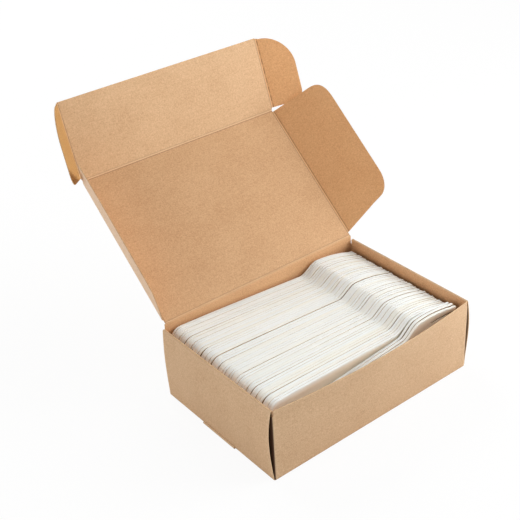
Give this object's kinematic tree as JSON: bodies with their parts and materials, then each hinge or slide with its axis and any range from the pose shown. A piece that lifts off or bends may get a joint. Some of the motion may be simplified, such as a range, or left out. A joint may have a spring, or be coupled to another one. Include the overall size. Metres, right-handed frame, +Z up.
{
  "type": "bagasse fork pack",
  "caption": "Open kraft mailer box with a hinged lid, tuck flap and dust flaps, packed with white pressed bagasse forks standing on edge",
  "frame": {"origin": "middle of the underside of the tray", "axes": "X along the front wall, +Y to the back wall, +Z up"},
  "size_m": [0.2161, 0.222, 0.1823],
  "materials": {
    "kraft_board": "matt",
    "kraft_flap": "matt",
    "bagasse": "matt"
  },
  "bodies": {
    "tray": {"tray": "kraft_board", "lower_fork_stack": "bagasse", "fork_01": "bagasse", "fork_02": "bagasse", "fork_03": "bagasse", "fork_04": "bagasse", "fork_05": "bagasse", "fork_06": "bagasse", "fork_07": "bagasse", "fork_08": "bagasse", "fork_09": "bagasse", "fork_10": "bagasse", "fork_11": "bagasse", "fork_12": "bagasse", "fork_13": "bagasse", "fork_14": "bagasse", "fork_15": "bagasse", "fork_16": "bagasse", "fork_17": "bagasse", "fork_18": "bagasse", "fork_19": "bagasse", "fork_20": "bagasse", "fork_21": "bagasse", "fork_22": "bagasse", "fork_23": "bagasse", "fork_24": "bagasse", "fork_25": "bagasse", "fork_26": "bagasse", "fork_27": "bagasse", "fork_28": "bagasse", "fork_29": "bagasse", "fork_30": "bagasse", "fork_31": "bagasse", "fork_32": "bagasse", "fork_33": "bagasse", "fork_34": "bagasse", "fork_35": "bagasse", "fork_36": "bagasse", "fork_37": "bagasse", "fork_38": "bagasse", "fork_39": "bagasse", "fork_40": "bagasse", "fork_41": "bagasse", "fork_42": "bagasse", "fork_43": "bagasse", "fork_44": "bagasse", "fork_45": "bagasse", "fork_46": "bagasse", "fork_47": "bagasse", "fork_48": "bagasse", "fork_49": "bagasse", "fork_50": "bagasse"},
    "lid": {"lid_panel": "kraft_board"},
    "tuck": {"tuck_flap": "kraft_flap"},
    "flap_left": {"side_flap_left": "kraft_flap"},
    "flap_right": {"side_flap_right": "kraft_flap"},
    "ear_left": {"tuck_ear_left": "kraft_flap"},
    "ear_right": {"tuck_ear_right": "kraft_flap"}
  },
  "joints": [
    {"name": "lid_hinge", "type": "hinge", "parent": "tray", "child": "lid", "pos_m": [0, 0.05625, 0.0573], "axis": [-1, 0, 0], "range_deg": [-108, 40]},
    {"name": "tuck_hinge", "type": "hinge", "parent": "lid", "child": "tuck", "pos_m": [0, 0.14213, 0.13013], "axis": [1, 0, 0], "range_deg": [-42, 19]},
    {"name": "flap_left_hinge", "type": "hinge", "parent": "lid", "child": "flap_left", "pos_m": [-0.0824, 0.05625, 0.0573], "axis": [0, 0.7627, 0.6468], "range_deg": [-12, 20]},
    {"name": "flap_right_hinge", "type": "hinge", "parent": "lid", "child": "flap_right", "pos_m": [0.0824, 0.05625, 0.0573], "axis": [0, -0.7627, -0.6468], "range_deg": [-6, 52]},
    {"name": "ear_left_hinge", "type": "hinge", "parent": "tuck", "child": "ear_left", "pos_m": [-0.0834, 0.14213, 0.13013], "axis": [0, 0.3256, 0.9455], "range_deg": [-53, 13]},
    {"name": "ear_right_hinge", "type": "hinge", "parent": "tuck", "child": "ear_right", "pos_m": [0.0834, 0.14213, 0.13013], "axis": [0, -0.3256, -0.9455], "range_deg": [-28, 5.5]}
  ]
}
